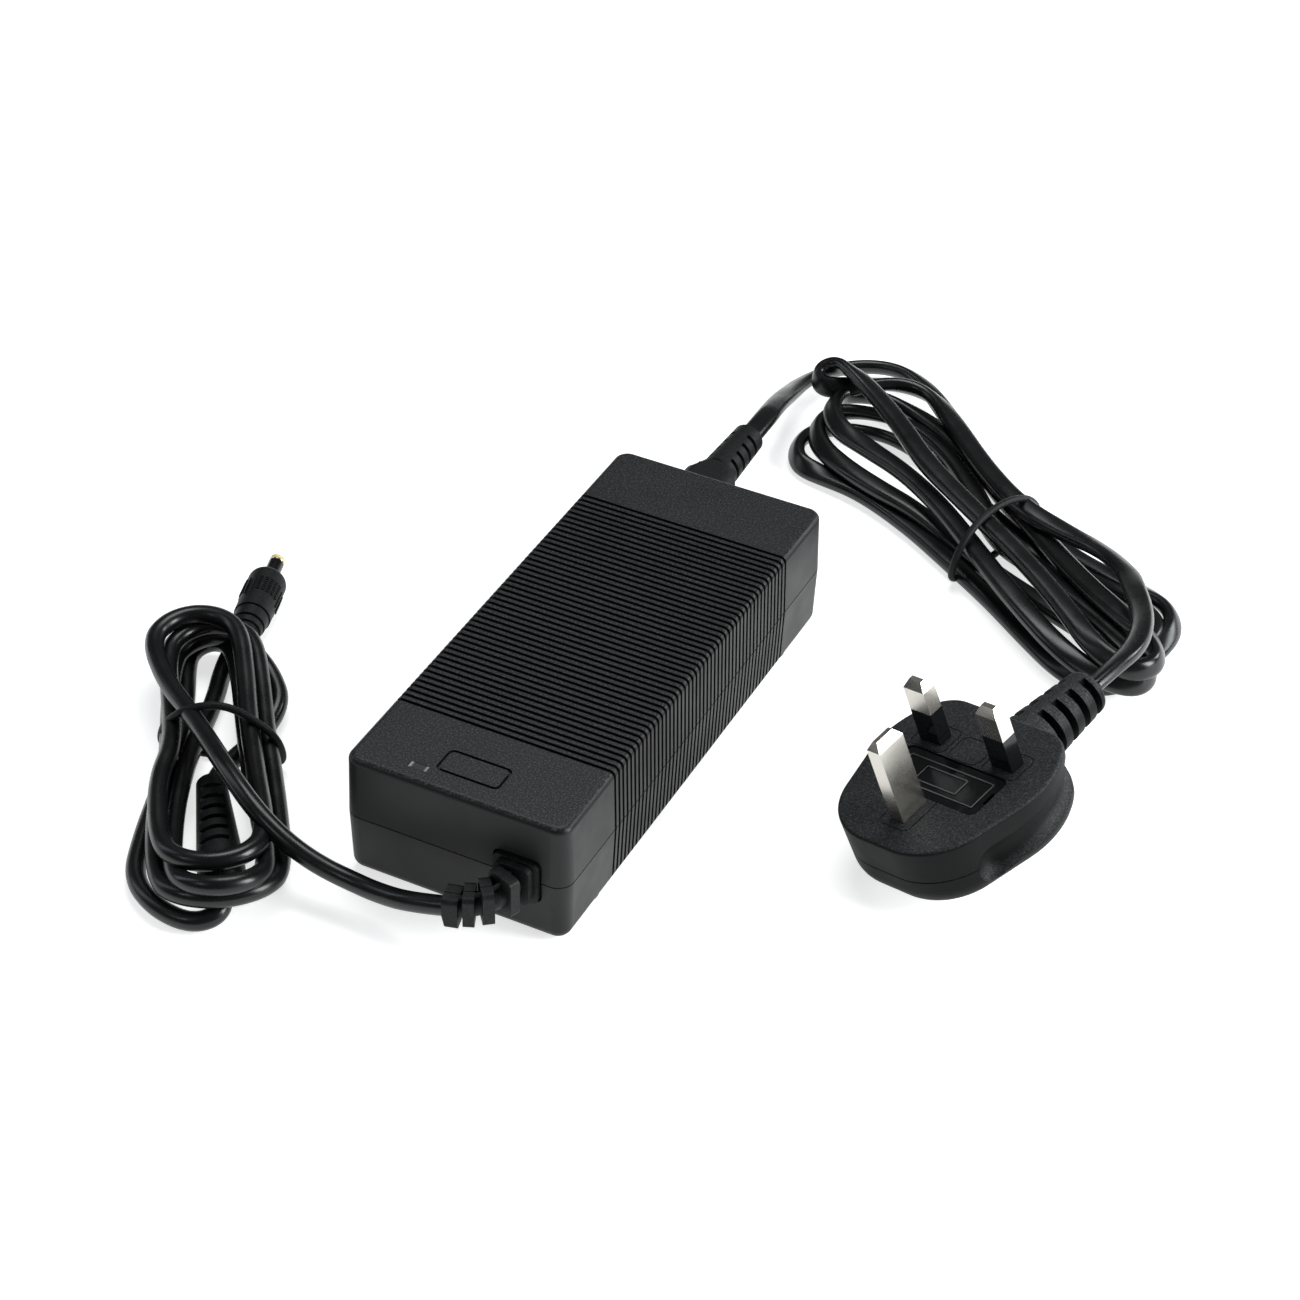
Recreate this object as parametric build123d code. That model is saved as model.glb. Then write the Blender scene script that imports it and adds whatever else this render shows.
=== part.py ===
"""Laptop power adapter: ribbed two-shell case, mains lead with a fused British plug, and a low-voltage lead.

Units are millimetres. The origin is at the centre of the case's footprint, on the surface it stands on.
+Z is up, -Y is the output end, +Y is the mains end and +X is the side with the output strain relief.
"""
import math
import os

from build123d import *

os.makedirs("parts", exist_ok=True)

# ---------------------------------------------------------------- case
CASE_L = 137.0
CASE_W = 57.0
CASE_TOP = 33.5
PARTING_Z = 16.9
FOOT_PROUD = 0.6
WALL = 2.2
CORNER_R = 4.0
TOP_EDGE_R = 1.6
BOTTOM_EDGE_R = 2.9
TOP_DRAFT = 0.45
BOTTOM_DRAFT = 0.6
LIP_H = 1.5
LIP_T = 0.8
LIP_GAP = 0.1
SEAM_W = 0.3
SEAM_D = 0.35

GROOVES = 47
GROOVE_FIRST_Y = -44.5
GROOVE_LAST_Y = 45.5
GROOVE_W = 0.95
GROOVE_D = 0.7

WINDOW_POS = (-11.4, -63.0)
WINDOW_SIZE = (4.6, 1.9)
PANEL_POS = (0.0, -58.2)
PANEL_SIZE = (16.2, 7.8)
PANEL_GROOVE = 0.7

SCREW_X = 22.4
SCREW_Y = 50.0
FOOT_R = 4.5
FOOT_T = 1.5
BOSS_R = 3.1
SCREW_R = 1.45
SCREW_HEAD_R = 2.7

# ---------------------------------------------------------------- board
BOARD_Z = 6.0
BOARD_T = 1.6
BOARD_TOP = BOARD_Z + BOARD_T
BOARD_X = 50.0
BOARD_Y0, BOARD_Y1 = -63.5, 53.0

# ---------------------------------------------------------------- output lead
OUT_X = 16.3
OUT_Z = 16.9
RECESS = 12.2
RECESS_DEPTH = 2.0
WEB_T = 1.4
OUT_BLOCK = 11.3
DC_CORD_D = 4.7
RELIEF_FINS = [(0.17, 7.6, 10.0, 2.6), (0.44, 7.2, 8.9, 2.7), (0.67, 6.9, 8.4, 2.6), (0.9, 6.7, 8.1, 3.6)]
FIN_CORNER_R = 1.2
SPINE = (0.6, 7.8)
DC_HANK_H = 22.0

# ---------------------------------------------------------------- mains inlet and connector
INLET_X = -11.4
INLET_Z = 17.0
INLET_PITCH = 8.6
INLET_PIN_D = 2.4
CAVITY = (14.6, 8.6)
CAVITY_DEPTH = 11.5
NOSE = (14.0, 8.0)
NOSE_L = 10.5
MAINS_CORD_W = 5.8
RELIEF_END_Y = 109.0

# ---------------------------------------------------------------- British fused plug (BS 1363 sizes)
PIN_ROW = 22.23
PIN_PITCH = 22.23
LINE_PIN = (3.97, 6.35)
LINE_PIN_L = 17.7
SLEEVE_L = 9.2
EARTH_PIN = (7.92, 3.97)
EARTH_PIN_L = 22.73
PIN_TIP = 2.0
PIN_BEVEL = 34.0
PIN_ROOT = 6.5
PLUG_DEPTH = 18.0
PLUG_SEAM = 9.0
PLUG_CAVITY = (22.0, 31.0, 6.9)
PLUG_FLOOR = -15.2
CORD_END_U = 30.0
PLUG_POS = (85.7, -11.5, 20.7)
PLUG_HEADING = 73.0
PLUG_RISE = 12.2
PLUG_LEAN = 14.4
PLUG_RELIEF_ROOT = (33.0, 0, -11.0)
PLUG_RELIEF_L = 28.0
PLUG_RELIEF_R = (8.0, 5.6)
PLUG_RELIEF_SAG = 2.5
CARRIER = (12.4, 30.0, 8.4)
CARRIER_U = 11.4
CARRIER_R = 1.6
CARRIER_DIP = 0.3
RELIEF_RINGS = 4
RELIEF_RING_U = 7.6
RELIEF_RING_PITCH = 4.9
GRIP_BEND_R = 27.2
GRIP_R = 5.4
GRIP_ANGLE = 44.0
GRIP_FRONT_ANGLE = 34.0
GRIP_W = -8.6
GRIP_TILT = 6.0
FUSE_R = 3.15
FUSE_L = 25.4


def save(part, node):
    """Write one node's solids to its own STEP file."""
    part.label = node
    export_step(part, f"parts/{node}.step")


def box(x, y, z, sx, sy, sz):
    """Box centred on x and y, standing on z."""
    return Pos(x, y, z + sz / 2) * Box(sx, sy, sz)


def can(x, y, z, r, h):
    """Upright cylinder standing on z."""
    return Pos(x, y, z + h / 2) * Cylinder(r, h)


def facing_y(x, y, z):
    """Plane whose own X stays level and whose normal is +Y."""
    return Plane(origin=(x, y, z), x_dir=(1, 0, 0), z_dir=(0, 1, 0))


def group(*solids):
    """Several separate solids as one node."""
    return Compound(children=[s.solid() for s in solids])


def fillet_route(points, diameter, name):
    """Straight runs joined by the largest tangent arcs that neighbouring runs allow."""
    corners = [Vector(*p) for p in points]
    radii = []
    for before, here, after in zip(corners, corners[1:], corners[2:]):
        into, out = here - before, after - here
        turn = math.radians(into.get_angle(out))
        radii.append(0.45 * min(into.length, out.length) / math.tan(turn / 2))
    runs = [(b - a).length for a, b in zip(corners, corners[1:])]
    print(name, "runs", [round(r, 1) for r in runs])
    print(name, "radii in diameters", [round(r / diameter, 1) for r in radii])
    return FilletPolyline(*corners, radius=radii)


def tube(points, diameter, name):
    """Round tube along a cord's route, its volume checked against section times length."""
    route = fillet_route(points, diameter, name)
    section = Plane(origin=route @ 0, z_dir=route % 0) * Circle(diameter / 2)
    solid = sweep(section, path=route)
    ideal = math.pi * diameter ** 2 / 4 * route.length
    print(name, "length", round(route.length, 1), "volume ratio", round(solid.volume / ideal, 4))
    return solid


# ================================================================ case
def half_case(up, inset=0.0):
    """Outer form of one shell, from the parting plane outwards, drafted and with its edges rounded."""
    base = Plane.XY.offset(PARTING_Z)
    outline = base * RectangleRounded(CASE_W - 2 * inset, CASE_L - 2 * inset, CORNER_R - inset)
    rise = (CASE_TOP - PARTING_Z if up else PARTING_Z - FOOT_PROUD) - inset
    draft = math.degrees(math.atan((TOP_DRAFT if up else BOTTOM_DRAFT) / rise))
    direction = (0, 0, 1) if up else (0, 0, -1)
    solid = extrude(outline, amount=rise, dir=direction, taper=draft)
    far = solid.edges().group_by(Axis.Z)[-1 if up else 0]
    edge_r = (TOP_EDGE_R if up else BOTTOM_EDGE_R) - inset
    return fillet(far, max(edge_r, 0.5))


def grooves():
    """Slabs whose outer rim cuts the shallow grooves round the top and both sides."""
    pitch = (GROOVE_LAST_Y - GROOVE_FIRST_Y) / (GROOVES - 1)
    slabs = [Pos(0, GROOVE_FIRST_Y + i * pitch, 20) * Box(80, GROOVE_W, 36) for i in range(GROOVES)]
    core = half_case(True, GROOVE_D) + half_case(False, GROOVE_D)
    return [slab - core for slab in slabs]


def seam_groove():
    """Fine groove that marks the joint of the two shells."""
    base = Plane.XY.offset(PARTING_Z)
    outer = base * Rectangle(CASE_W + 4, CASE_L + 4)
    inner = base * RectangleRounded(CASE_W - 2 * SEAM_D, CASE_L - 2 * SEAM_D, CORNER_R - SEAM_D)
    return extrude(outer - inner, amount=SEAM_W)


def relief_opening():
    """Recess and neck hole in the output end wall."""
    face_y = -CASE_L / 2
    recess_plane = facing_y(OUT_X, face_y - 1, OUT_Z)
    recess = extrude(recess_plane * RectangleRounded(RECESS, RECESS, 2.0), amount=1 + RECESS_DEPTH)
    neck_plane = facing_y(OUT_X, face_y, OUT_Z)
    neck = extrude(neck_plane * RectangleRounded(8.0, 8.0, 1.5), amount=8)
    return recess + neck


def relief_pad():
    """Thickened wall behind the recess, to hold the strain relief's flange."""
    y0 = -CASE_L / 2 + 0.6
    depth = RECESS_DEPTH + WEB_T - 0.6
    return Pos(OUT_X, y0 + depth / 2, OUT_Z) * Box(15.6, depth, 15.6)


def inlet_opening():
    """Hole in the mains end wall for the inlet's face."""
    plane = facing_y(INLET_X, CASE_L / 2 - 7, INLET_Z)
    return extrude(plane * RectangleRounded(18.2, 12.2, 2.6), amount=8)


def upper_shell():
    inner = half_case(True, WALL)
    boss_top = CASE_TOP - WALL
    shell = half_case(True) - inner
    for sx in (-1, 1):
        for sy in (-1, 1):
            x, y = sx * SCREW_X, sy * SCREW_Y
            boss = can(x, y, BOARD_TOP, BOSS_R, boss_top - BOARD_TOP + 0.6)
            shell += boss
    shell += relief_pad() & half_case(True)
    rebate = Plane.XY.offset(PARTING_Z) * RectangleRounded(
        CASE_W - 2 * (WALL - LIP_T - LIP_GAP), CASE_L - 2 * (WALL - LIP_T - LIP_GAP), CORNER_R - 1)
    pocket = extrude(rebate, amount=LIP_H + LIP_GAP)
    ring = pocket - extrude(Plane.XY.offset(PARTING_Z) * RectangleRounded(
        CASE_W - 2 * WALL - 0.2, CASE_L - 2 * WALL - 0.2, CORNER_R - WALL), amount=LIP_H + LIP_GAP)
    shell -= ring
    shell -= seam_groove()
    for sx in (-1, 1):
        for sy in (-1, 1):
            shell -= can(sx * SCREW_X, sy * SCREW_Y, BOARD_TOP, SCREW_R + 0.05, 12)
    shell -= relief_opening()
    shell -= inlet_opening()
    shell -= box(*WINDOW_POS, CASE_TOP - 4, *WINDOW_SIZE, 6)
    panel = Plane.XY.offset(CASE_TOP - PANEL_GROOVE)
    rim = RectangleRounded(*PANEL_SIZE, 1.6) - RectangleRounded(
        PANEL_SIZE[0] - 2 * PANEL_GROOVE, PANEL_SIZE[1] - 2 * PANEL_GROOVE, 1.1)
    shell -= extrude(panel * Pos(*PANEL_POS) * rim, amount=2)
    for groove in grooves():
        shell -= groove
    return shell.solids().sort_by(SortBy.VOLUME)[-1]


def lower_shell():
    inner = half_case(False, WALL)
    shell = half_case(False) - inner
    lip = Plane.XY.offset(PARTING_Z) * (
        RectangleRounded(CASE_W - 2 * (WALL - LIP_T), CASE_L - 2 * (WALL - LIP_T), CORNER_R - 1.2)
        - RectangleRounded(CASE_W - 2 * WALL, CASE_L - 2 * WALL, CORNER_R - WALL))
    shell += extrude(lip, amount=LIP_H)
    floor_z = FOOT_PROUD + WALL
    for sx in (-1, 1):
        for sy in (-1, 1):
            x, y = sx * SCREW_X, sy * SCREW_Y
            shell += can(x, y, floor_z - 0.5, BOSS_R + 0.6, BOARD_Z - floor_z + 0.5)
    shell += relief_pad() & half_case(False)
    for sx in (-1, 1):
        for sy in (-1, 1):
            x, y = sx * SCREW_X, sy * SCREW_Y
            shell -= can(x, y, 0, SCREW_R + 0.15, 10)
            shell -= can(x, y, 0, SCREW_HEAD_R + 0.2, 4.0)
            shell -= can(x, y, 0, FOOT_R + 0.1, FOOT_T)
    shell -= relief_opening()
    shell -= inlet_opening()
    for groove in grooves():
        shell -= groove
    return shell.solids().sort_by(SortBy.VOLUME)[-1]


def indicator_window():
    x, y = WINDOW_POS
    lens = box(x, y, CASE_TOP - WALL, WINDOW_SIZE[0] - 0.1, WINDOW_SIZE[1] - 0.1, WALL - 0.1)
    pipe = box(x, y, 24.2, WINDOW_SIZE[0] + 1.4, WINDOW_SIZE[1] + 0.8, CASE_TOP - WALL - 24.2)
    return lens + pipe


def rubber_feet():
    return group(*[fillet(can(sx * SCREW_X, sy * SCREW_Y, 0, FOOT_R, FOOT_T).edges().group_by(Axis.Z)[0], 0.3)
                   for sx in (-1, 1) for sy in (-1, 1)])


def case_screws():
    screws = []
    for sx in (-1, 1):
        for sy in (-1, 1):
            x, y = sx * SCREW_X, sy * SCREW_Y
            screw = can(x, y, 2.1, SCREW_HEAD_R, 1.8) + can(x, y, 3.9, SCREW_R, 12)
            screw -= box(x, y, 2.0, 3.6, 0.7, 0.9) + box(x, y, 2.0, 0.7, 3.6, 0.9)
            screws.append(screw)
    return group(*screws)


# ================================================================ board and its parts
def circuit_board():
    middle = (BOARD_Y0 + BOARD_Y1) / 2
    board = box(0, middle, BOARD_Z, BOARD_X, BOARD_Y1 - BOARD_Y0, BOARD_T)
    for sx in (-1, 1):
        for sy in (-1, 1):
            board -= can(sx * SCREW_X, sy * SCREW_Y, BOARD_Z - 1, SCREW_R + 0.2, 4)
    return board


def insulating_sheet():
    sheet = box(0, -5, 3.3, 48, 112, 0.4)
    for sx in (-1, 1):
        for sy in (-1, 1):
            sheet -= can(sx * SCREW_X, sy * SCREW_Y, 3, BOSS_R + 1.0, 2)
    return sheet


def magnetics():
    """Choke, transformer and output inductor, each as a core and a winding that share no material."""
    base = BOARD_TOP + 0.2
    choke = box(11, 31, base, 18, 12, 17.5) - box(11, 31, base + 4, 12, 14, 10)
    save(choke, "choke_core")
    save(group(*[box(11 + s * 3.0, 31, base + 4.2, 5.4, 10, 9.6) for s in (-1, 1)]), "choke_windings")

    mid = (3, -28)
    frame = box(*mid, BOARD_TOP + 0.6, 27, 14, 21) - box(*mid, BOARD_TOP + 4.6, 19, 16, 13)
    save(frame + box(*mid, BOARD_TOP + 4, 8, 13.6, 14), "transformer_core")
    coil = box(*mid, BOARD_TOP + 5.0, 18.4, 25, 12.2) - box(*mid, BOARD_TOP + 4, 8.4, 14.2, 15)
    save(fillet(coil.edges().filter_by(Axis.Z).group_by(Axis.Y)[0], 3), "transformer_winding")

    ring = Pos(13.2, -49, BOARD_TOP + 4.6) * (Cylinder(5.4, 8.4) - Cylinder(2.4, 10))
    save(ring, "output_inductor")


def flat_package(x, y, wall_side):
    """Three-leg power package standing against a heatsink plate."""
    body = box(x, y, BOARD_TOP + 4.5, 4.4, 10, 9)
    tab = box(x + wall_side * 1.55, y, BOARD_TOP + 13.5, 1.3, 10, 5.5)
    legs = [box(x, y + d, BOARD_TOP, 0.7, 0.9, 4.5) for d in (-2.54, 0, 2.54)]
    return body + tab + legs[0] + legs[1] + legs[2]


def disc_part(x, y, r, thick):
    """Disc standing on edge across the board, on a short foot."""
    centre_z = BOARD_TOP + r + 1.6
    disc = Pos(x, y, centre_z) * Rot(90, 0, 0) * Cylinder(r, thick)
    return disc + box(x, y, BOARD_TOP, 1.0, 0.8, 3.0)


def heatsinks_and_packages():
    save(box(21.2, 14, BOARD_TOP + 0.3, 2.0, 46, 19), "primary_heatsink")
    save(flat_package(17.9, 6, 1), "power_transistor")
    save(box(-21.2, -29, BOARD_TOP + 0.3, 2.0, 30, 19), "secondary_heatsink")
    save(flat_package(-17.9, -30, -1), "output_rectifier")
    bridge = box(-17.5, 31, BOARD_TOP + 3, 4, 15, 11)
    for d in (-5.7, -1.9, 1.9, 5.7):
        bridge += box(-17.5, 31 + d, BOARD_TOP, 0.8, 1.0, 3)
    save(bridge, "bridge_rectifier")
    save(box(0, 2, 30.4, 37, 92, 0.5), "heat_spreader")


def capacitors():
    bulk = Pos(-11.0, 3, BOARD_TOP + 9.4) * Rot(90, 0, 0) * Cylinder(9, 30)
    save(fillet(bulk.edges(), 0.8), "bulk_capacitor")
    cans = [can(x, -50, BOARD_TOP + 0.2, 5, 20) for x in (-9, 2.2)]
    save(group(*[fillet(c.edges().group_by(Axis.Z)[-1], 0.8) for c in cans]), "output_capacitors")
    save(box(-6, 41, BOARD_TOP + 0.2, 18, 7.6, 14), "x_capacitor")
    save(disc_part(14, -8, 4.4, 2.6), "y_capacitor")


def small_parts():
    """Fuse, inrush limiter, chips under the board, optocoupler and the indicator."""
    save(disc_part(12.5, 42, 5.4, 3.6), "inrush_thermistor")
    save(can(9, 48.5, BOARD_TOP + 0.2, 3.0, 7.6), "board_fuse")
    chips = [(-4, 20, 5, 6), (6, -48, 4, 6), (-6, -52, 6, 5)]
    save(group(*[box(x, y, BOARD_Z - 1.7, sx, sy, 1.6) for x, y, sx, sy in chips]), "control_chips")
    save(box(-14.0, -18.4, BOARD_TOP + 0.2, 6.4, 4.6, 3.6), "optocoupler")
    x, y = WINDOW_POS[0], -61.6
    led = can(x, y, 18.5, 1.45, 4.0) + can(x, y, 18.0, 1.75, 0.8)
    led += box(x - 0.9, y, BOARD_TOP, 0.5, 0.5, 10.6) + box(x + 0.9, y, BOARD_TOP, 0.5, 0.5, 10.6)
    save(led, "indicator_led")


# ================================================================ output strain relief and wires
def relief_curve():
    """Centre line of the fishbone relief, bending from the end wall towards -X and down."""
    return Bezier((OUT_X, -71.0, OUT_Z), (16.5, -75.2, OUT_Z - 0.6), (13.2, -78.8, 14.5), (5.0, -80.6, 12.9))


def relief_section(curve, t, upright=False):
    """Plane across the relief, square to its centre line or standing straight up."""
    heading = curve % t
    across = Vector(-heading.Y, heading.X, 0)
    level = Vector(heading.X, heading.Y, 0)
    return Plane(origin=curve @ t, x_dir=across, z_dir=level if upright else heading)


def fin(curve, t, width, height, thick):
    """Rounded plate across the relief, with the raised mould line over its top and bottom."""
    plane = relief_section(curve, t, upright=True)
    plate = extrude(plane * RectangleRounded(width, height, FIN_CORNER_R), amount=thick / 2, both=True)
    return plate + plane * Box(0.4, height + 0.3, thick)


def output_strain_relief():
    """Flange and neck inside the wall, two stepped pads outside it, then the finned bend."""
    web_y = -CASE_L / 2 + RECESS_DEPTH
    curve = relief_curve()
    body = Pos(OUT_X, web_y + WEB_T + 0.3 + 1.0, OUT_Z) * Box(10.6, 2.0, 10.6)
    body += extrude(facing_y(OUT_X, web_y - 0.5, OUT_Z) * RectangleRounded(7.8, 7.8, 1.5), amount=2.6)
    front = -CASE_L / 2 - 1.0
    pad = facing_y(OUT_X, front, OUT_Z) * RectangleRounded(OUT_BLOCK, OUT_BLOCK, 1.6)
    body += extrude(pad, amount=web_y - 0.1 - front)
    step = facing_y(OUT_X, front - 1.9, OUT_Z) * RectangleRounded(8.8, 10.0, 1.4)
    body += extrude(step, amount=2.5)
    core = sweep(Plane(origin=curve @ 0, z_dir=curve % 0) * Circle(2.7), path=curve)
    body += core
    body += sweep(relief_section(curve, 0) * Rectangle(*SPINE), path=curve, is_frenet=False)
    for t, width, height, thick in RELIEF_FINS:
        body += fin(curve, t, width, height, thick)
    past_the_end = extrude(Plane(origin=curve @ 1, z_dir=curve % 1) * Circle(8), amount=6)
    return body - past_the_end


def output_wires():
    start_y = -CASE_L / 2 + RECESS_DEPTH + WEB_T + 2.3
    wires = []
    for dx in (-2.0, 2.0):
        x = OUT_X + dx
        path = FilletPolyline((x, start_y, OUT_Z), (x, start_y + 4, OUT_Z), (x, start_y + 4, BOARD_TOP),
                              radius=2.2)
        wires.append(sweep(Plane(origin=path @ 0, z_dir=path % 0) * Circle(1.0), path=path))
    return group(*wires)


# ================================================================ output lead
DC_EXIT = relief_curve() @ 1
DC_EXIT_HEADING = relief_curve() % 1
DC_ROUTE = [DC_EXIT, DC_EXIT + DC_EXIT_HEADING * 9.5, (-16.5, -78.4, 6.4), (-27.0, -76.0, 3.6),
            (-37.5, -74.4, 5.0)]
DC_HANK_TOP = 17.0
DC_HANK_SLOPE = 2.8
DC_HANK_MID = (-74.0, -59.0)
DC_HANK_AXIS = -53.0
DC_HANK_RIM = [(-111, -28), (-110, -20.5), (-102.6, -15.4), (-94, -14), (-86, -16.4), (-78, -22), (-71.5, -30),
               (-65, -40.5), (-56.5, -51), (-47, -62), (-40, -72), (-36, -82), (-36.2, -93), (-42, -101.5),
               (-52, -104.8), (-62, -102.8), (-70, -95), (-75.5, -83), (-80.5, -68), (-86.5, -56), (-94, -46),
               (-103, -39.5)]
DC_TIE_MID = (-75.5, -50.5)
DC_TIE_HEADING = 14.0
FERRITE_MID = (-56.4, -78.3)
FERRITE_HEADING = -53.0
FERRITE_R = 5.5
FERRITE_NECK_R = 3.6
FERRITE_CONE = (-18.5, 8.0)
FERRITE_BARREL = (8.0, 16.5)
FERRITE_TAIL = (16.5, 18.5)
RELIEF_SLOTS = 6
RELIEF_SLOT_PITCH = 3.9
DC_PLUG_POS = (-94.7, -1.0, 5.0)
DC_PLUG_HEADING = 106.5
PLUG_SHOULDER_Z = 13.0
BARREL_R = 2.0
BARREL_BORE_R = 0.85
BARREL_ROOT_R = 1.8
BARREL_ROOT_Z = 13.4
BARREL_TIP_Z = 20.45


def hank_frame():
    """Frame of the output hank: X runs down the hank from its top loop to its lower end."""
    return Pos(*DC_HANK_MID, 0) * Rot(0, 0, DC_HANK_AXIS)


def output_hank():
    """Outer form of the coiled lead: thin at the top loop, thicker at its lower end."""
    rim = Spline(*[Vector(x, y, 0) for x, y in DC_HANK_RIM], periodic=True)
    slab = extrude(make_face(rim), amount=30, dir=(0, 0, 1))
    upper_eye = (Pos(-28, 0) * Circle(5.0)).edge()
    lower_eye = (Pos(2, 0) * Circle(6.5)).edge()
    eye = hank_frame() * extrude(make_hull([upper_eye, lower_eye]), amount=40)
    lean = math.radians(DC_HANK_SLOPE)
    normal = Vector(-math.sin(lean), 0, math.cos(lean))
    above = hank_frame() * extrude(Plane(origin=(0, 0, DC_HANK_TOP), z_dir=normal) * Rectangle(240, 240), amount=40)
    return slab - eye - above - ferrite_envelope() - dc_tie(0.15) - tube_socket(DC_ROUTE, DC_CORD_D)


def tube_socket(points, diameter):
    """Clearance for a cord's tube where it enters a hank; the tube's end rests on the socket's end."""
    return tube(points, diameter + 0.2, "socket")


def dc_tie(grow=0.0):
    """Thin band round the hank a little above its middle."""
    outer = RectangleRounded(34.0 + 2 * grow, 18.4 + 2 * grow, 5.0)
    inner = RectangleRounded(30.4 - 2 * grow, 14.8 - 2 * grow, 3.6)
    heading = math.radians(DC_TIE_HEADING)
    across = Vector(math.cos(heading), math.sin(heading), 0)
    normal = Vector(math.sin(heading), -math.cos(heading), 0)
    plane = Plane(origin=Vector(*DC_TIE_MID, 9.2 + grow) - normal * (0.9 + grow), x_dir=across, z_dir=normal)
    return extrude(plane * (outer - inner), amount=1.8 + 2 * grow)


def ferrite_frame():
    return Pos(*FERRITE_MID, FERRITE_R) * Rot(0, 0, FERRITE_HEADING) * Rot(0, 90, 0)


def between(ends):
    """Middle and length of a stretch of the ferrite moulding."""
    return (ends[0] + ends[1]) / 2, ends[1] - ends[0]


def ferrite_envelope():
    middle, length = between((FERRITE_CONE[0], FERRITE_TAIL[1]))
    return ferrite_frame() * Pos(0, 0, middle) * Cylinder(FERRITE_R + 0.3, length + 1.0)


def ferrite_cover():
    """Moulding over the core: a plain barrel, a slotted cone towards the case and a short tail."""
    barrel_mid, barrel_l = between(FERRITE_BARREL)
    cone_mid, cone_l = between(FERRITE_CONE)
    tail_mid, tail_l = between(FERRITE_TAIL)
    barrel = Pos(0, 0, barrel_mid) * Cylinder(FERRITE_R, barrel_l)
    cone = Pos(0, 0, cone_mid) * Cone(FERRITE_NECK_R, FERRITE_R - 0.1, cone_l)
    tail = Pos(0, 0, tail_mid) * Cone(FERRITE_R - 0.4, FERRITE_NECK_R, tail_l)
    bore = Cylinder(DC_CORD_D / 2 + 0.1, 60)
    cavity = Pos(0, 0, barrel_mid) * Cylinder(FERRITE_R - 1.2, barrel_l - 1.0)
    cover = barrel + cone + tail - cavity - bore
    for i in range(RELIEF_SLOTS):
        slot_z = FERRITE_CONE[1] - 2.5 - RELIEF_SLOT_PITCH * i
        cover -= Pos(-4.5, -2.0, slot_z) * Box(3.2, 9.0, 1.5)
    return ferrite_frame() * cover


def ferrite_core():
    middle, length = between(FERRITE_BARREL)
    ring = Cylinder(FERRITE_R - 1.35, length - 1.4) - Cylinder(DC_CORD_D / 2 + 0.15, 30)
    return ferrite_frame() * Pos(0, 0, middle) * ring


def dc_plug_frame():
    """Plug axis: local Z points out of the barrel."""
    return Pos(*DC_PLUG_POS) * Rot(0, 0, DC_PLUG_HEADING) * Rot(0, 90, 0)


def stub(r, z0, z1):
    """Cylinder on the plug's axis between two heights."""
    return Pos(0, 0, z0) * Cylinder(r, z1 - z0, align=(Align.CENTER, Align.CENTER, Align.MIN))


def dc_plug_body():
    """Grip, collar and ringed relief, moulded in one piece."""
    grip = loft([Pos(0, 0, -3.5) * Circle(4.7), Pos(0, 0, PLUG_SHOULDER_Z) * Circle(5.0)])
    grip = fillet(grip.edges().group_by(Axis.Z)[-1], 2.9)
    relief = Pos(0, 0, -9.0) * Cone(2.9, 3.6, 6.4)
    rings = Pos(0, 0, -5.4) * Cone(4.2, 4.4, 3.0) + Pos(0, 0, -8.4) * Cone(3.8, 4.0, 1.5)
    rings += Pos(0, 0, -11.2) * Cone(3.4, 3.6, 1.5)
    body = grip + relief + rings
    body -= stub(BARREL_ROOT_R + 0.05, 8.9, 20)
    return dc_plug_frame() * body


def dc_plug_sleeve():
    """Outer contact: its root is slimmer than the barrel, where the grip holds it."""
    barrel = stub(BARREL_R, BARREL_ROOT_Z, 19.3) + stub(BARREL_ROOT_R, 9.0, BARREL_ROOT_Z)
    return dc_plug_frame() * (barrel - stub(1.45, 8.0, 20.0))


def dc_plug_insulator():
    """Coloured ring at the tip, in one piece with the tube between the two contacts."""
    tip = stub(BARREL_R, 19.35, BARREL_TIP_Z) + stub(1.4, 12.0, 19.5)
    return dc_plug_frame() * (tip - stub(1.1, 11.0, 21.0))


def dc_plug_contact():
    return dc_plug_frame() * (stub(1.05, 9.0, 20.0) - stub(BARREL_BORE_R, 10.0, 21.0))


# ================================================================ mains inlet and its connector
def inlet_socket():
    face_y = CASE_L / 2
    depth = 13.6
    body = Pos(INLET_X, face_y - depth / 2 - 0.1, INLET_Z) * Box(17.6, depth, 11.6)
    body = fillet(body.edges().filter_by(Axis.Y), 2.4)
    plane = facing_y(INLET_X, face_y - CAVITY_DEPTH, INLET_Z)
    cavity = extrude(plane * RectangleRounded(*CAVITY, 3.9), amount=CAVITY_DEPTH + 1)
    body -= cavity
    for s in (-1, 1):
        body -= Pos(INLET_X + s * INLET_PITCH / 2, face_y - 12, INLET_Z) * Rot(90, 0, 0) * Cylinder(
            INLET_PIN_D / 2 + 0.05, 8)
    return body


def inlet_pins():
    pins = []
    for s in (-1, 1):
        x = INLET_X + s * INLET_PITCH / 2
        path = FilletPolyline((x, CASE_L / 2 - 2.0, INLET_Z), (x, 51.6, INLET_Z), (x, 51.6, BOARD_TOP), radius=1.6)
        pins.append(sweep(Plane(origin=path @ 0, z_dir=path % 0) * Circle(INLET_PIN_D / 2), path=path))
    return group(*pins)


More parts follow.
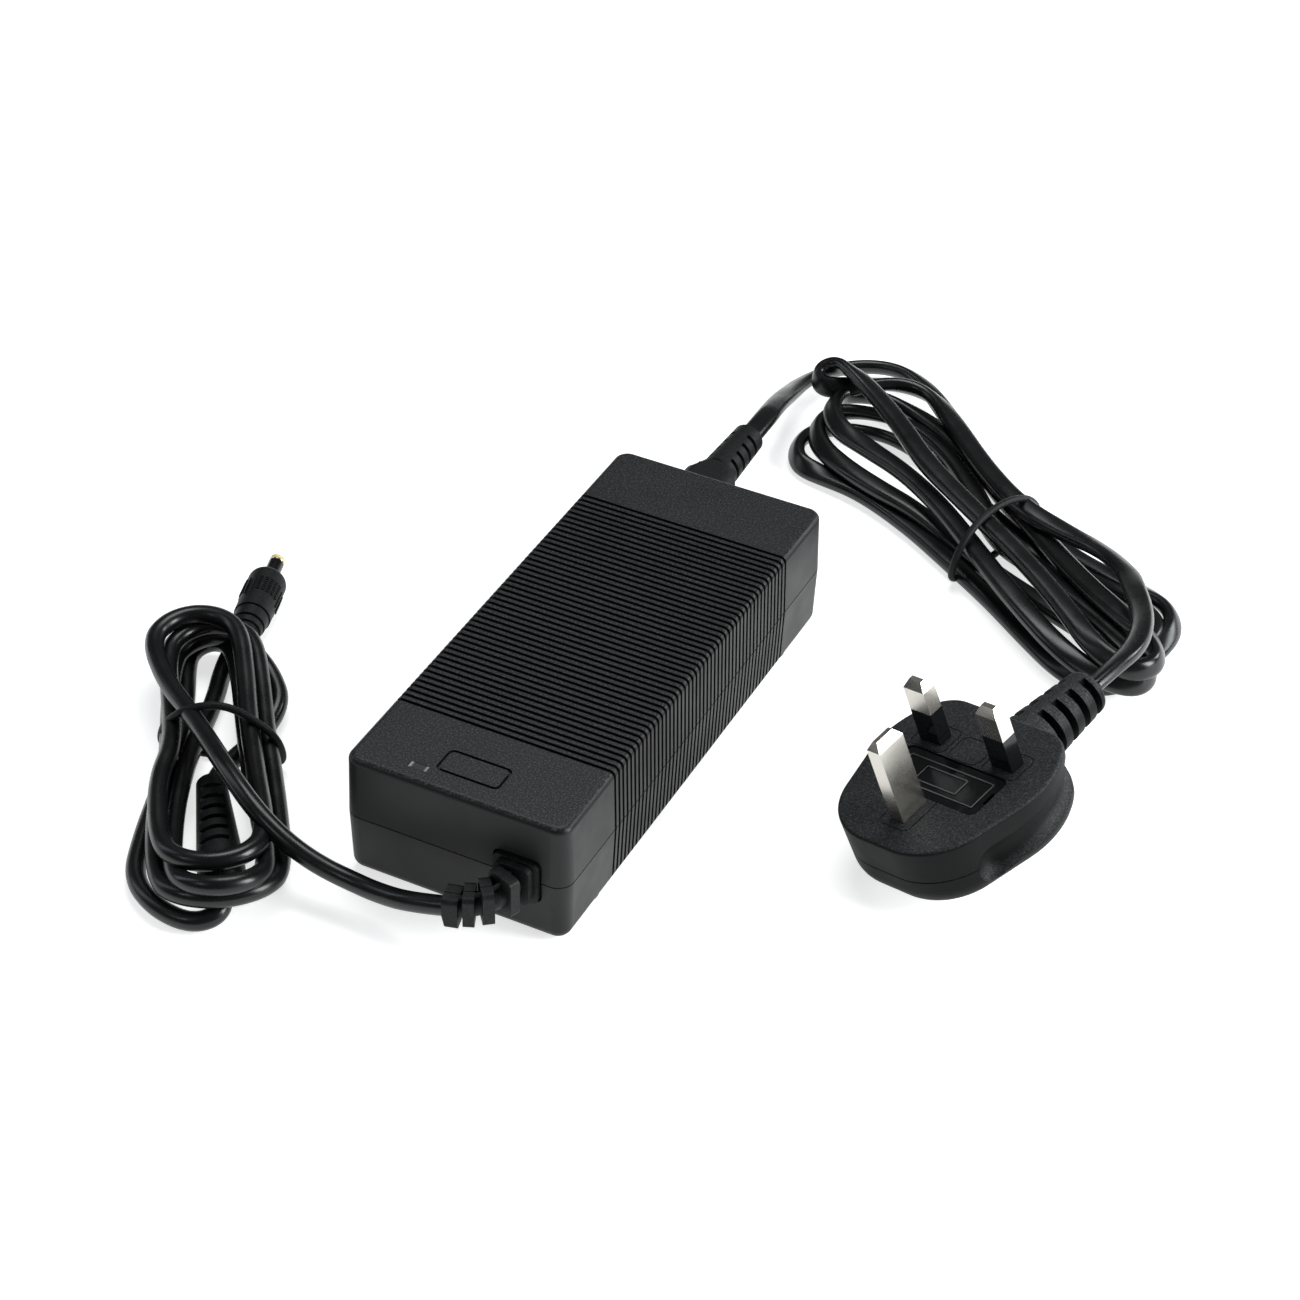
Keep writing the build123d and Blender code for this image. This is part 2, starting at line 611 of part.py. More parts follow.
def inlet_connector():
    """Two-pole mains connector with a finger pad and a slotted round relief."""
    face_y = CASE_L / 2
    nose_plane = facing_y(INLET_X, face_y - NOSE_L, INLET_Z)
    body = extrude(nose_plane * RectangleRounded(*NOSE, 3.7), amount=NOSE_L + 1)
    grip_plane = facing_y(INLET_X, face_y + 0.4, INLET_Z)
    body += extrude(grip_plane * RectangleRounded(14.8, 9.4, 4.3), amount=17)
    body += Pos(INLET_X, face_y + 9.6, INLET_Z + 4.4) * Box(7.4, 18.0, 1.4)
    shoulder = loft([facing_y(INLET_X, face_y + 17.3, INLET_Z) * RectangleRounded(14.6, 9.3, 4.2),
                     facing_y(INLET_X, face_y + 22.0, INLET_Z) * RectangleRounded(10.2, 9.3, 4.4)])
    body += shoulder
    length = RELIEF_END_Y - (face_y + 21.9)
    cone = Pos(INLET_X, face_y + 21.9 + length / 2, INLET_Z) * Rot(-90, 0, 0) * Cone(4.9, 4.2, length)
    body += cone
    for s in (-1, 1):
        x = INLET_X + s * INLET_PITCH / 2
        body -= Pos(x, face_y - 5.0, INLET_Z) * Rot(90, 0, 0) * Cylinder(1.7, 12)
    for i in range(4):
        y = face_y + 24.4 + i * 3.9
        slot = Pos(INLET_X, y, INLET_Z) * Rot(90, 0, 0) * (Cylinder(7, 1.3) - Cylinder(2.6, 3))
        side = 1 if i % 2 else 0.9
        body -= slot & (Pos(INLET_X + 5 * side + 1.2, y, INLET_Z) * Box(10, 3, 8))
        body -= slot & (Pos(INLET_X - 5 * side - 1.2, y + 1.4, INLET_Z) * Box(10, 6, 8))
    return body


def connector_contacts():
    sleeves = []
    for s in (-1, 1):
        x = INLET_X + s * INLET_PITCH / 2
        tube_ring = Pos(x, CASE_L / 2 - 5.2, INLET_Z) * Rot(90, 0, 0) * (
            Cylinder(1.65, 9.4) - Cylinder(INLET_PIN_D / 2 + 0.08, 12))
        sleeves.append(tube_ring)
    return group(*sleeves)


# ================================================================ mains lead
MAINS_ROUTE = [(INLET_X, RELIEF_END_Y, INLET_Z), (INLET_X, 119.0, INLET_Z), (-13.6, 131.0, 13.6),
               (-15.4, 143.0, 9.3), (-16.6, 155.0, 5.6), (-14.2, 165.5, 4.0), (-6.5, 173.2, 4.0),
               (3.8, 175.0, 5.0), (13.6, 171.4, 6.0), (21.2, 164.0, 6.5)]
MAINS_HANK_H = 16.0
MAINS_HANK_ENDS = ((12.0, 144.0, 22.5), (93.0, 92.0, 22.0))
MAINS_HANK_WAIST = (57.5, 114.0, 14.5)


def mains_hank():
    (ax, ay, ar), (bx, by, br) = MAINS_HANK_ENDS
    wx, wy, wr = MAINS_HANK_WAIST
    waist = (Pos(wx, wy) * Circle(wr)).edge()
    upper = make_hull([(Pos(ax, ay) * Circle(ar)).edge(), waist])
    lower = make_hull([waist, (Pos(bx, by) * Circle(br)).edge()])
    solid = extrude(upper + lower, amount=MAINS_HANK_H)
    solid -= tube_socket(MAINS_ROUTE, MAINS_CORD_W)
    solid -= tube_socket(PLUG_ROUTE, MAINS_CORD_W)
    return solid - mains_tie(0.15)


def mains_tie(grow=0.0):
    """Thin band round the waist of the mains hank."""
    (ax, ay, _), (bx, by, _) = MAINS_HANK_ENDS
    heading = Vector(bx - ax, by - ay, 0).normalized()
    wx, wy, wr = MAINS_HANK_WAIST
    plane = Plane(origin=Vector(wx, wy, MAINS_HANK_H / 2) - heading * (0.9 + grow),
                  x_dir=Vector(-heading.Y, heading.X, 0), z_dir=heading)
    width = 2 * wr + 3
    outer = RectangleRounded(width + 2 * grow, MAINS_HANK_H + 2 * grow, 5.5)
    inner = RectangleRounded(width - 3.6 - 2 * grow, MAINS_HANK_H - 3.6 - 2 * grow, 4.0)
    return extrude(plane * (outer - inner), amount=1.8 + 2 * grow)


# ================================================================ British plug
def plug_frame():
    """Plug frame: local X runs from the earth pin to the line pins, local Z is out of the pin face."""
    return Pos(*PLUG_POS) * Rot(0, 0, PLUG_HEADING) * Rot(0, -PLUG_RISE, 0) * Rot(-PLUG_LEAN, 0, 0)


def plug_outline():
    """Broad earth end, bulging sides and rounded shoulders at the cord end."""
    corners = [(Pos(4.4, side * 4.4) * Circle(16.5)).edge() for side in (-1, 1)]
    sides = (Pos(18.0, 0) * Circle(24.2)).edge()
    hull = make_hull([*corners, sides])
    return hull & (Pos(-2.25, 0) * Rectangle(75.5, 70))


def plug_envelope():
    outline = plug_outline()
    solid = extrude(outline, amount=-PLUG_DEPTH, taper=2)
    upright = solid.edges().filter_by(lambda e: abs((e @ 0).Z - (e @ 1).Z) > PLUG_DEPTH / 2)
    solid = fillet(upright.filter_by(lambda e: (e @ 0).X > CORD_END_U), 9.0)
    solid = fillet(solid.edges().group_by(Axis.Z)[0], 6.0)
    return fillet(solid.edges().group_by(Axis.Z)[-1], 0.8)


def relief_frame():
    """Root of the plug's relief, in the plug's frame: local X runs down the relief, which hangs slightly."""
    return Pos(*PLUG_RELIEF_ROOT) * Rot(0, PLUG_RELIEF_SAG, 0)


def plug_relief():
    """Round slotted relief along the cord, with a plain cap at its end."""
    cone = Pos(PLUG_RELIEF_L / 2, 0, 0) * Rot(0, 90, 0) * Cone(*PLUG_RELIEF_R, PLUG_RELIEF_L)
    cone = fillet(cone.edges().group_by(Axis.X)[-1], 1.6)
    for i in range(RELIEF_RINGS):
        for side in (-1, 1):
            mid = RELIEF_RING_U + (i + (0.5 if side < 0 else 0)) * RELIEF_RING_PITCH
            ring = Pos(mid, 0, 0) * Rot(0, 90, 0) * (Cylinder(10, 2.2) - Cylinder(3.6, 4))
            cone -= ring & (Pos(mid, side * 6.4, 0) * Box(8, 9.6, 15))
    return relief_frame() * cone


def pin_pockets(gap):
    """Holes through the face moulding for the three pins."""
    pockets = box(0, 0, -7, EARTH_PIN[0] + gap, EARTH_PIN[1] + gap, 9)
    for s in (-1, 1):
        pockets += box(PIN_ROW, s * PIN_PITCH / 2, -7, LINE_PIN[0] + gap, LINE_PIN[1] + gap, 9)
    return pockets


def rounded_box(x, y, z, sx, sy, sz, r):
    """Box standing on z whose upright edges are rounded."""
    return extrude(Plane.XY.offset(z) * Pos(x, y) * RectangleRounded(sx, sy, r), amount=sz)


def carrier_pocket(gap):
    width, length, depth = CARRIER
    return rounded_box(CARRIER_U, 0, -depth - gap, width + 2 * gap, length + 2 * gap, depth + gap + 1,
                       CARRIER_R + gap)


def plug_cavity():
    """Space behind the carrier for the fuse clips."""
    width, length, height = PLUG_CAVITY
    return box(CARRIER_U, 0, PLUG_FLOOR, width, length, height)


def outline_groove(x, y, sx, sy, r):
    """Fine engraved outline on the pin face."""
    line = RectangleRounded(sx, sy, r) - RectangleRounded(sx - 0.5, sy - 0.5, r - 0.25)
    return extrude(Plane.XY.offset(-0.2) * Pos(x, y) * line, amount=1)


def face_outlines():
    marks = outline_groove(0.4, 0, 13.0, 9.2, 2.0)
    for s in (-1, 1):
        marks += outline_groove(PIN_ROW, s * PIN_PITCH / 2, 8.4, 10.6, 1.6)
    return marks + outline_groove(PIN_ROW - 0.3, 0, 7.8, 9.4, 2.2)


def grip_hollow(side):
    """Long round-ended finger hollow that follows one side wall and rises towards the cord end."""
    arc = CenterArc((0, 0, 0), GRIP_BEND_R, 90 - GRIP_ANGLE, GRIP_ANGLE + GRIP_FRONT_ANGLE)
    section = Plane(origin=arc @ 0, z_dir=arc % 0) * Circle(GRIP_R)
    bar = sweep(section, path=arc) + Pos(*(arc @ 0)) * Sphere(GRIP_R) + Pos(*(arc @ 1)) * Sphere(GRIP_R)
    if side < 0:
        bar = mirror(bar, Plane.XZ)
    return Pos(18.0, 0, GRIP_W) * Rot(0, -GRIP_TILT, 0) * bar


def plug_base():
    """Pin-face moulding, from the face down to the seam."""
    solid = plug_envelope() & (Pos(10, 0, -PLUG_SEAM / 2) * Box(120, 80, PLUG_SEAM))
    for side in (1, -1):
        solid -= grip_hollow(side)
    solid -= pin_pockets(0.1)
    solid -= carrier_pocket(0.3)
    solid -= plug_cavity()
    solid -= face_outlines()
    solid -= relief_frame() * Pos(19.8, 0, 0) * Rot(0, 90, 0) * Cylinder(8.3, 40)
    return plug_frame() * solid


def plug_cover():
    """Back moulding with the relief in one piece with it, and a fine groove along the seam."""
    body = plug_envelope() & (Pos(10, 0, -PLUG_SEAM - 10.05) * Box(120, 80, 20))
    groove = box(10, 0, -PLUG_SEAM - 0.35, 120, 80, 1) - extrude(
        Plane.XY.offset(-PLUG_SEAM - 1) * offset(plug_outline(), -0.9, kind=Kind.INTERSECTION), amount=2)
    solid = body - groove + plug_relief()
    for side in (1, -1):
        solid -= grip_hollow(side)
    solid -= plug_cavity()
    return plug_frame() * solid


def bevelled_pin(width, depth, length):
    """Flat pin from its root in the moulding to a bevelled tip, its length counted from the face."""
    tip = Pos(0, 0, length - PIN_TIP) * extrude(Rectangle(width, depth), amount=PIN_TIP, taper=PIN_BEVEL)
    return box(0, 0, -PIN_ROOT, width, depth, PIN_ROOT + length - PIN_TIP) + tip


def earth_pin():
    return plug_frame() * bevelled_pin(*EARTH_PIN, EARTH_PIN_L)


def line_pin(side):
    pin = bevelled_pin(*LINE_PIN, LINE_PIN_L)
    pin -= box(0, 0, 0.0, LINE_PIN[0] + 1, LINE_PIN[1] + 1, SLEEVE_L) - box(
        0, 0, 0.0, LINE_PIN[0] - 1.0, LINE_PIN[1] - 1.0, SLEEVE_L)
    return plug_frame() * Pos(PIN_ROW, side * PIN_PITCH / 2, 0) * pin


def pin_sleeves():
    sleeves = []
    for side in (-1, 1):
        ring = box(0, 0, 0.05, LINE_PIN[0], LINE_PIN[1], SLEEVE_L - 0.1) - box(
            0, 0, -1, LINE_PIN[0] - 0.9, LINE_PIN[1] - 0.9, SLEEVE_L + 2)
        sleeves.append(plug_frame() * Pos(PIN_ROW, side * PIN_PITCH / 2, 0) * ring)
    return group(*sleeves)


def fuse_carrier():
    """Drawer for the fuse: a slotted tray with raised framing lines and a pry slot at one end."""
    width, length, depth = CARRIER
    tray = rounded_box(CARRIER_U, 0, -depth, width, length, depth - CARRIER_DIP, CARRIER_R)
    frame = RectangleRounded(8.4, 25.6, 0.6) - RectangleRounded(7.9, 25.1, 0.4)
    inner = RectangleRounded(5.0, 12.6, 0.5) - RectangleRounded(4.5, 12.1, 0.3)
    for lines in (frame, inner):
        tray += extrude(Plane.XY.offset(-CARRIER_DIP - 0.1) * Pos(CARRIER_U, 0) * lines, amount=0.28)
    tray -= Pos(CARRIER_U, 0, -5.4) * Rot(90, 0, 0) * Cylinder(FUSE_R + 0.15, FUSE_L + 0.6)
    tray -= box(CARRIER_U, 0, -depth - 1, 2 * FUSE_R - 1.0, FUSE_L + 0.6, 4)
    tray -= box(CARRIER_U, -length / 2, -1.6, 3.6, 1.8, 3)
    return plug_frame() * tray


def fuse_parts():
    axis = plug_frame() * Pos(CARRIER_U, 0, -5.4) * Rot(90, 0, 0)
    save(axis * Cylinder(FUSE_R - 0.25, FUSE_L - 12.2), "plug_fuse_body")
    caps = [axis * Pos(0, 0, s * (FUSE_L / 2 - 3.05)) * Cylinder(FUSE_R, 6.0) for s in (-1, 1)]
    save(group(*caps), "plug_fuse_caps")
    clips = [box(CARRIER_U, s * 9.6, -12.6, 5.0, 4.6, 3.2) for s in (-1, 1)]
    save(group(*[plug_frame() * clip for clip in clips]), "fuse_clips")


def along_plug_relief(distance):
    """Point on the relief's axis, at a distance from its root."""
    return (plug_frame() * relief_frame() * Pos(distance, 0, 0)).position


PLUG_TIP = along_plug_relief(PLUG_RELIEF_L)
PLUG_ROUTE = [PLUG_TIP, along_plug_relief(PLUG_RELIEF_L + 9.5), (111.4, 66.0, 22.6), (108.8, 77.5, 20.6),
              (103.0, 89.0, 17.0), (95.0, 98.0, 13.0)]


def main():
    save(upper_shell(), "upper_shell")
    save(lower_shell(), "lower_shell")
    save(indicator_window(), "indicator_window")
    save(rubber_feet(), "rubber_feet")
    save(case_screws(), "case_screws")
    save(circuit_board(), "circuit_board")
    save(insulating_sheet(), "insulating_sheet")
    magnetics()
    heatsinks_and_packages()
    capacitors()
    small_parts()
    save(output_strain_relief(), "output_strain_relief")
    save(output_wires(), "output_wires")
    save(tube(DC_ROUTE, DC_CORD_D, "output_cord"), "output_cord")
    save(output_hank(), "output_hank")
    save(dc_tie(), "output_hank_tie")
    save(ferrite_cover(), "ferrite_cover")
    save(ferrite_core(), "ferrite_core")
    save(dc_plug_body(), "dc_plug_body")
    save(dc_plug_sleeve(), "dc_plug_sleeve")
    save(dc_plug_insulator(), "dc_plug_insulator")
    save(dc_plug_contact(), "dc_plug_contact")
    save(inlet_socket(), "inlet_socket")
    save(inlet_pins(), "inlet_pins")
    save(inlet_connector(), "inlet_connector")
    save(connector_contacts(), "connector_contacts")
    save(tube(MAINS_ROUTE, MAINS_CORD_W, "mains_cord"), "mains_cord")
    save(mains_hank(), "mains_hank")
    save(mains_tie(), "mains_hank_tie")
    save(tube(PLUG_ROUTE, MAINS_CORD_W, "plug_cord"), "plug_cord")
    save(plug_base(), "plug_base")
    save(plug_cover(), "plug_cover")
    save(earth_pin(), "earth_pin")
    save(line_pin(1), "neutral_pin")
    save(line_pin(-1), "live_pin")
    save(pin_sleeves(), "pin_sleeves")
    save(fuse_carrier(), "fuse_carrier")
    fuse_parts()


main()
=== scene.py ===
"""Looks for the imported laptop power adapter.

Two free cords, raised detail on the plugs, materials, floor, lights and camera.
"""
import math

import bpy
import numpy as np
from mathutils import Matrix, Vector

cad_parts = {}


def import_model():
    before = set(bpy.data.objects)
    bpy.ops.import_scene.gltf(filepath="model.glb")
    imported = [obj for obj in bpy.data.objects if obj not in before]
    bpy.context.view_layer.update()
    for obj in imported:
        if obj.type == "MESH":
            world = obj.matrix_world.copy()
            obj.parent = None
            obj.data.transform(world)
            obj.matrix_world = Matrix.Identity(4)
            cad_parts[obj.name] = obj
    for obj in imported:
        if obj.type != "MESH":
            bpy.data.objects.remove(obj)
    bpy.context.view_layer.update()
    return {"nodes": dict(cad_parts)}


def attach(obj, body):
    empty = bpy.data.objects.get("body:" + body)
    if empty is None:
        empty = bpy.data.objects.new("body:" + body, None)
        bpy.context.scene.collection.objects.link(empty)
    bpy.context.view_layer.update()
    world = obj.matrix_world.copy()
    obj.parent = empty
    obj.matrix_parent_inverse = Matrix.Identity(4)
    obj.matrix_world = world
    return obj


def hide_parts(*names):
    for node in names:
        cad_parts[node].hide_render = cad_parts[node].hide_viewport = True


MM = 0.001
UP = Vector((0, 0, 1))


# ================================================================ points and frames
def metres(points):
    """Points given in millimetres, as vectors in metres."""
    return [Vector(p) * MM for p in points]


def placed(middle, heading, points):
    """Points given along and across a hank, in the row frame, all in millimetres."""
    c, s = math.cos(math.radians(heading)), math.sin(math.radians(heading))
    return [(middle[0] + c * x - s * y, middle[1] + s * x + c * y, z) for x, y, z in points]


TURN_POINTS = 5
TURN_SPAN = 150.0


def turn_end(middle, radii, heights, rise=0.0, side=1):
    """Points round one end of a hank's turn: side 1 is the end at low X, side -1 the end at high X."""
    (cx, cy), (rx, ry), (start, stop) = middle, radii, heights
    points = []
    for i in range(TURN_POINTS):
        share = i / (TURN_POINTS - 1)
        angle = math.radians(TURN_SPAN * (share - 0.5))
        height = start + (stop - start) * share + rise * math.cos(angle)
        points.append((cx - side * rx * math.cos(angle), cy + side * ry * math.sin(angle), height))
    return points


# ================================================================ output cord
DC_CORD_D = 4.7
DC_EXIT = (5.0, -80.6, 12.9)
DC_LEAD = [DC_EXIT, (-3.4, -82.0, 11.4), (-12.5, -80.6, 9.2), (-19.3, -79.7, 8.8), (-25.8, -79.5, 9.4),
           (-31.5, -79.4, 10.8), (-38.2, -78.6, 12.9), (-47.0, -75.8, 15.6)]
DC_HANK_MID = (-74.0, -59.0)
DC_HANK_AXIS = -53.0


def output_turns():
    """The wound stretch of the output cord, in the hank's own frame: X runs down the hank."""
    p = [(18, 6.6, 17.4), (5.5, 3.0, 16.6)]
    p += [(-8, -0.7, 14.9), (-23, -5.9, 14)]
    p += turn_end((-35.2, 2.6), (12.0, 11.2), (13.6, 14.2), 0.4)
    p += [(-22, 13.3, 12.6), (-7, 12.7, 11.8), (10, 12.7, 11.6)]
    p += turn_end((30.7, 1.2), (12.9, 12.6), (11.8, 12.0), 1.6, side=-1)
    p += [(12, -10, 12), (-1, -5.6, 11.4), (-18, -4.9, 9.6)]
    p += turn_end((-35.0, 6.0), (12.0, 11.1), (9.4, 10.6), 0.6)
    p += [(-22, 17.0, 8.8), (-6, 16.5, 7.8), (10, 17.0, 6.8)]
    p += turn_end((37.0, 2.0), (13.3, 15.0), (5.6, 6.3), 2.6, side=-1)
    p += [(16, -11, 6.8), (-1, -6.8, 6.8), (-18, -5.6, 5.4)]
    p += turn_end((-36.5, 6.2), (10.5, 10.0), (5.0, 7.6), 0.8)
    p += [(-31.5, 20, 5.5), (-22, 21.5, 4), (-12, 15.5, 2.5), (-2, 6, 2.6)]
    p += [(8, 2.5, 5.5), (20, 2.4, 5.5), (32, 2.4, 5.5), (43, 2.5, 5.5)]
    p += [(50, 1.5, 3.8), (50.8, -5.5, 2.4), (43.5, -13.5, 2.4), (33, -17.5, 2.4), (20, -14.5, 2.4)]
    p += [(4, -9.5, 2.4), (-12, -4.4, 2.4), (-26, -1.4, 2.4)]
    p += turn_end((-41.0, 5.6), (7.2, 5.8), (2.4, 5.6))
    p += [(-30, 12.2, 7), (-17, 12.0, 7), (-3, 11.8, 6.8), (12, 12, 6.8)]
    p += turn_end((37.5, 2.2), (13.4, 11.4), (7.3, 8.0), 5.2, side=-1)
    p += [(20, -6.9, 7.5), (6, -4.2, 7), (-6, -1.2, 5.5), (-18, 2.6, 3), (-29, 6.1, 2.4)]
    p += [(-37, 8.0, 2.5), (-43.5, 10.8, 3.8), (-47.5, 14.2, 5)]
    return p


# ================================================================ mains cord
MAINS_CORD_W = 5.8
MAINS_CORD_T = 3.6
MAINS_EXIT = (-11.4, 109.0, 17.0)
MAINS_LEAD = [MAINS_EXIT, (-11.4, 119, 17), (-13.6, 131, 13.6), (-15.4, 143, 9.3), (-16.6, 155, 5.6),
              (-14.2, 165.5, 4), (-6.5, 173.2, 4), (3.8, 175, 5), (13.6, 171.4, 5)]
MAINS_TAIL = [(100.4, 97, 16.2), (106, 86.5, 18.6), (109.4, 77, 20.8), (111.2, 66.5, 22.6),
              (109.6, 55.9, 23.6), (106.8, 47.0, 22.0)]
MAINS_HANK_MID = (57.5, 114.0)
MAINS_HANK_AXIS = -32.7


def mains_turns():
    """The wound stretch of the mains cord, in the hank's own frame: X runs towards the plug's end."""
    p = [(-52, 22, 4), (-36, 19, 3), (-18, 15, 2.2), (0, 13.5, 2.2), (16, 15.5, 2.2), (30, 20, 2.4)]
    p += [(40, 23.6, 2.9), (49, 21, 3), (54.5, 13, 3), (57.5, 3, 2.4), (61.5, -6, 3), (58.5, -12.8, 3)]
    p += [(50, -15.3, 3), (36, -14.8, 2.4), (18, -13.5, 2.2), (0, -13.5, 2.2)]
    p += [(-18, -13.8, 2.2), (-36, -16.5, 2.2), (-48, -21.5, 2.4), (-56, -25, 3), (-63.5, -20.5, 3.2)]
    p += [(-66.5, -12.5, 3.2), (-62.5, -3, 2.8), (-54, 5, 2.4), (-38, 8.5, 2.2), (-20, 7.5, 2.2), (0, 7, 2.2)]
    p += [(16, 9.5, 2.4), (30, 15, 2.6), (41, 18.5, 3), (50, 16, 3.1), (54, 9, 3.1), (50.5, 2, 3.1)]
    p += [(40, -1, 2.8), (24, -4, 2.4), (8, -7, 2.4), (-6, -8.5, 3)]
    p += [(-20, -11, 5.4), (-34, -15.5, 6), (-48, -18, 6), (-57.5, -17.5, 6), (-65.5, -13, 6.2)]
    p += [(-68, -5, 6), (-63, 3, 6), (-54, 9, 6), (-38, 11, 6), (-18, 6.5, 6), (0, 0, 4.8)]
    p += [(16, 2, 5), (32, 3, 5.6), (48, 3, 6.4), (59, 2.2, 6.6), (66.5, -0.5, 6.6), (68, -7, 6.6)]
    p += [(59.5, -13, 7), (48, -15.5, 8.5), (32, -14.8, 9.5), (16, -13, 10), (2, -10.4, 9.6)]
    p += [(-14, -8.2, 9.8), (-30, -8, 10), (-45, -10.6, 10), (-57, -12.4, 10), (-66.5, -8, 9.8)]
    p += [(-71.5, 0, 8), (-67.5, 9, 6.4), (-58, 14, 5.6), (-40, 15.5, 5.8), (-20, 13, 6), (0, 11, 6.2)]
    p += [(16, 8, 7.5), (32, 5.5, 9), (48, 4.8, 10.2), (59, 5.2, 10.4), (67.2, 0.8, 10.4), (67, -8, 10.8)]
    p += [(55.6, -10.8, 12), (41, -8, 12.5), (22, -5.8, 13), (4, -5, 13.2)]
    p += [(-11, -4.5, 13.4), (-27, -4, 13.8), (-46, 0, 14.3), (-60, 1.6, 14.6), (-69, 1.6, 15.4)]
    p += [(-76, 0.2, 15.2), (-78, -4.8, 13), (-74.4, -6, 10.8), (-71, -1, 10.4), (-69.5, 8, 10)]
    p += [(-64.5, 16.5, 9.6), (-55.5, 19.8, 9)]
    p += [(-40, 16, 9.5), (-22, 11.5, 10), (-3, 9, 10.5), (12, 12.5, 10.5), (24, 15.4, 11.5)]
    p += [(36, 14.2, 13.2)]
    return p


# ================================================================ curves and meshes
CORD_STEPS = 8
GUIDE_STEPS = 10
ROUND_STEPS = 7
SAME_POINT = 0.02 * MM


def spline_curve(name, points, width, resolution=CORD_STEPS):
    """A curve object of one open NURBS spline with these points, in metres, as its control points."""
    data = bpy.data.curves.new(name, "CURVE")
    data.dimensions = "3D"
    data.resolution_u = resolution
    data.bevel_depth = width / 2
    data.bevel_resolution = ROUND_STEPS
    data.use_fill_caps = width > 0
    spline = data.splines.new("NURBS")
    spline.points.add(len(points) - 1)
    for target, point in zip(spline.points, points):
        target.co = (*point, 1.0)
    spline.order_u = 3
    spline.use_endpoint_u = True
    curve = bpy.data.objects.new(name, data)
    bpy.context.scene.collection.objects.link(curve)
    return curve


def line_of(points):
    """Points along the NURBS spline that has these control points."""
    guide = spline_curve("guide", points, 0.0, GUIDE_STEPS)
    bpy.context.view_layer.update()
    evaluated = guide.evaluated_get(bpy.context.evaluated_depsgraph_get())
    mesh = bpy.data.meshes.new_from_object(evaluated)
    line = []
    for vertex in mesh.vertices:
        if not line or (vertex.co - line[-1]).length > SAME_POINT:
            line.append(vertex.co.copy())
    bpy.data.meshes.remove(mesh)
    bpy.data.objects.remove(guide)
    return line


def mesh_object(name, vertices, faces, smooth=True):
    """A mesh object from vertices and faces."""
    data = bpy.data.meshes.new(name)
    data.from_pydata([tuple(v) for v in vertices], [], faces)
    data.validate()
    data.update()
    if smooth:
        data.shade_smooth()
    made = bpy.data.objects.new(name, data)
    bpy.context.scene.collection.objects.link(made)
    return made


def skin(name, rings, capped=True):
    """A tube through rings of points, each ring with as many points as the next."""
    count = len(rings[0])
    vertices = [p for ring in rings for p in ring]
    faces = []
    for i in range(len(rings) - 1):
        for j in range(count):
            k = (j + 1) % count
            faces.append((i * count + j, i * count + k, (i + 1) * count + k, (i + 1) * count + j))
    if capped:
        faces.append(tuple(reversed(range(count))))
        faces.append(tuple(range((len(rings) - 1) * count, len(rings) * count)))
    return mesh_object(name, vertices, faces)


def smoothed(values, reach):
    """Values averaged over their neighbours with a bell-shaped weight."""
    weights = np.exp(-0.5 * (np.arange(-3 * reach, 3 * reach + 1) / reach) ** 2)
    padded = np.pad(np.asarray(values, float), 3 * reach, mode="edge")
    return np.convolve(padded, weights / weights.sum(), mode="valid")


# ================================================================ the cords' solid forms
EDGE_TURN = math.radians(80.0)
EDGE_RADIUS = 12.6 * MM
ROLL_REACH = 5
SIDE_REACH = 4
STEEP = 0.05
LEVEL_PULL = 2.5
TAIL_ROLL = math.radians(45.0)
TAIL_HELD = 35.0 * MM
TAIL_FADE = 45.0 * MM


def flat_cord(name, line, width, thickness):
    """A flat two-core cord along a line: its wide face lies level on straights and stands up in bends."""
    last = len(line) - 1
    tangents = [(line[min(i + 1, last)] - line[max(i - 1, 0)]).normalized() for i in range(last + 1)]
    rolls = bend_rolls(line, tangents) + tail_rolls(line)
    outline = oval(width, thickness)
    rings = []
    for point, tangent, roll, across in zip(line, tangents, rolls, level_sides(tangents)):
        turned = Matrix.Rotation(roll, 3, tangent) @ across
        normal = tangent.cross(turned).normalized()
        rings.append([point + turned * u + normal * v for u, v in outline])
    return skin(name, rings)


def bend_rolls(line, tangents):
    """Roll at each point: the tighter the cord bends on the level, the further it stands on its edge."""
    turns = [0.0]
    for i in range(1, len(line) - 1):
        flat_in = Vector((tangents[i - 1].x, tangents[i - 1].y, 0))
        flat_out = Vector((tangents[i + 1].x, tangents[i + 1].y, 0))
        step = (line[i + 1] - line[i - 1]).length
        turn = flat_in.cross(flat_out).z / max(flat_in.length * flat_out.length, STEEP)
        turns.append(math.asin(max(-1.0, min(1.0, turn))) / step)
    turns.append(0.0)
    return smoothed([math.tanh(turn * EDGE_RADIUS) * EDGE_TURN for turn in turns], ROLL_REACH)


def tail_rolls(line):
    """Extra roll where the cord leans onto its edge before the plug."""
    left = 0.0
    rolls = np.zeros(len(line))
    for i in range(len(line) - 1, 0, -1):
        share = min(max((left - TAIL_HELD) / TAIL_FADE, 0.0), 1.0)
        rolls[i] = TAIL_ROLL * 0.5 * (1 + math.cos(math.pi * share))
        left += (line[i] - line[i - 1]).length
    return rolls


